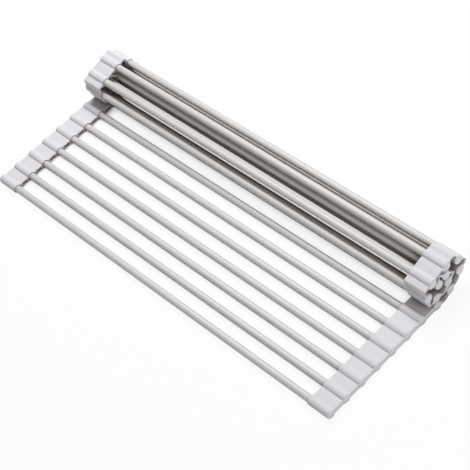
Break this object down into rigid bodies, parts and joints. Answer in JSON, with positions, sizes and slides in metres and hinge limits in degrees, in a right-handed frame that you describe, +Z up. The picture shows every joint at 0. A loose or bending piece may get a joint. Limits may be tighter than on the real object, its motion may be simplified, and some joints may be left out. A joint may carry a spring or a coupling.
{
  "type": "roll up dish drying rack",
  "caption": "Roll up dish drying rack: coated steel tubes held side by side by two silicone end strips, with the far end rolled up.",
  "frame": {"origin": "middle of the rack's bounding box at table level, z = 0 on the flat undersides of the sleeves", "axes": "+X along the tubes, +Y from the flat end towards the rolled end, +Z up from the table"},
  "size_m": [0.488, 0.187, 0.0446],
  "materials": {
    "coated_steel": "satin",
    "silicone": "matte"
  },
  "bodies": {
    "link_01": {"rod_01": "coated_steel", "strip_left_01": "silicone", "strip_right_01": "silicone"},
    "link_02": {"rod_02": "coated_steel", "strip_left_02": "silicone", "strip_right_02": "silicone"},
    "link_03": {"rod_03": "coated_steel", "strip_left_03": "silicone", "strip_right_03": "silicone"},
    "link_04": {"rod_04": "coated_steel", "strip_left_04": "silicone", "strip_right_04": "silicone"},
    "link_05": {"rod_05": "coated_steel", "strip_left_05": "silicone", "strip_right_05": "silicone"},
    "link_06": {"rod_06": "coated_steel", "strip_left_06": "silicone", "strip_right_06": "silicone"},
    "link_07": {"rod_07": "coated_steel", "strip_left_07": "silicone", "strip_right_07": "silicone"},
    "link_08": {"rod_08": "coated_steel", "strip_left_08": "silicone", "strip_right_08": "silicone"},
    "link_09": {"rod_09": "coated_steel", "strip_left_09": "silicone", "strip_right_09": "silicone"},
    "link_10": {"rod_10": "coated_steel", "strip_left_10": "silicone", "strip_right_10": "silicone"},
    "link_11": {"rod_11": "coated_steel", "strip_left_11": "silicone", "strip_right_11": "silicone"},
    "link_12": {"rod_12": "coated_steel", "strip_left_12": "silicone", "strip_right_12": "silicone"},
    "link_13": {"rod_13": "coated_steel", "strip_left_13": "silicone", "strip_right_13": "silicone"},
    "link_14": {"rod_14": "coated_steel", "strip_left_14": "silicone", "strip_right_14": "silicone"},
    "link_15": {"rod_15": "coated_steel", "strip_left_15": "silicone", "strip_right_15": "silicone"},
    "link_16": {"rod_16": "coated_steel", "strip_left_16": "silicone", "strip_right_16": "silicone"},
    "link_17": {"rod_17": "coated_steel", "strip_left_17": "silicone", "strip_right_17": "silicone"},
    "link_18": {"rod_18": "coated_steel", "strip_left_18": "silicone", "strip_right_18": "silicone"}
  },
  "joints": [
    {"name": "bend_07_08", "type": "hinge", "parent": "link_08", "child": "link_07", "pos_m": [0, 0.04124, 0.0035], "axis": [-1, 0, 0], "range_deg": [0, 30]},
    {"name": "bend_06_07", "type": "hinge", "parent": "link_07", "child": "link_06", "pos_m": [0, 0.02124, 0.0035], "axis": [-1, 0, 0], "range_deg": [0, 30]},
    {"name": "bend_05_06", "type": "hinge", "parent": "link_06", "child": "link_05", "pos_m": [0, 0.00124, 0.0035], "axis": [-1, 0, 0], "range_deg": [0, 30]},
    {"name": "bend_04_05", "type": "hinge", "parent": "link_05", "child": "link_04", "pos_m": [0, -0.01876, 0.0035], "axis": [-1, 0, 0], "range_deg": [0, 30]},
    {"name": "bend_03_04", "type": "hinge", "parent": "link_04", "child": "link_03", "pos_m": [0, -0.03876, 0.0035], "axis": [-1, 0, 0], "range_deg": [0, 30]},
    {"name": "bend_02_03", "type": "hinge", "parent": "link_03", "child": "link_02", "pos_m": [0, -0.05876, 0.0035], "axis": [-1, 0, 0], "range_deg": [0, 30]},
    {"name": "bend_01_02", "type": "hinge", "parent": "link_02", "child": "link_01", "pos_m": [0, -0.07876, 0.0035], "axis": [-1, 0, 0], "range_deg": [0, 30]},
    {"name": "open_08_09", "type": "hinge", "parent": "link_08", "child": "link_09", "pos_m": [0, 0.06124, 0.0035], "axis": [-1, 0, 0], "range_deg": [0, 27]},
    {"name": "open_09_10", "type": "hinge", "parent": "link_09", "child": "link_10", "pos_m": [0, 0.07906, 0.01258], "axis": [-1, 0, 0], "range_deg": [0, 17]},
    {"name": "unroll", "type": "hinge", "parent": "link_10", "child": "link_11", "pos_m": [0, 0.09345, 0.02647], "axis": [-1, 0, 0], "range_deg": [0, 81]},
    {"name": "open_11_12", "type": "hinge", "parent": "link_11", "child": "link_12", "pos_m": [0, 0.08198, 0.04286], "axis": [-1, 0, 0], "range_deg": [0, 66]},
    {"name": "open_12_13", "type": "hinge", "parent": "link_12", "child": "link_13", "pos_m": [0, 0.06234, 0.03904], "axis": [-1, 0, 0], "range_deg": [0, 4]},
    {"name": "open_13_14", "type": "hinge", "parent": "link_13", "child": "link_14", "pos_m": [0, 0.04303, 0.03386], "axis": [-1, 0, 0], "range_deg": [0, 74]},
    {"name": "open_14_15", "type": "hinge", "parent": "link_14", "child": "link_15", "pos_m": [0, 0.04268, 0.01387], "axis": [-1, 0, 0], "range_deg": [0, 88]},
    {"name": "open_15_16", "type": "hinge", "parent": "link_15", "child": "link_16", "pos_m": [0, 0.06265, 0.01282], "axis": [-1, 0, 0], "range_deg": [0, 42]},
    {"name": "open_16_17", "type": "hinge", "parent": "link_16", "child": "link_17", "pos_m": [0, 0.07819, 0.02541], "axis": [-1, 0, 0], "range_deg": [0, 106]},
    {"name": "open_17_18", "type": "hinge", "parent": "link_17", "child": "link_18", "pos_m": [0, 0.06181, 0.03688], "axis": [-1, 0, 0], "range_deg": [0, 103]}
  ],
  "couplings": [
    {"joint": "open_08_09", "follows": "unroll", "ratio": 0.33333},
    {"joint": "open_09_10", "follows": "unroll", "ratio": 0.20988},
    {"joint": "open_11_12", "follows": "unroll", "ratio": 0.81481},
    {"joint": "open_12_13", "follows": "unroll", "ratio": 0.049383},
    {"joint": "open_13_14", "follows": "unroll", "ratio": 0.91358},
    {"joint": "open_14_15", "follows": "unroll", "ratio": 1.0864},
    {"joint": "open_15_16", "follows": "unroll", "ratio": 0.51852},
    {"joint": "open_16_17", "follows": "unroll", "ratio": 1.3086},
    {"joint": "open_17_18", "follows": "unroll", "ratio": 1.2716}
  ]
}
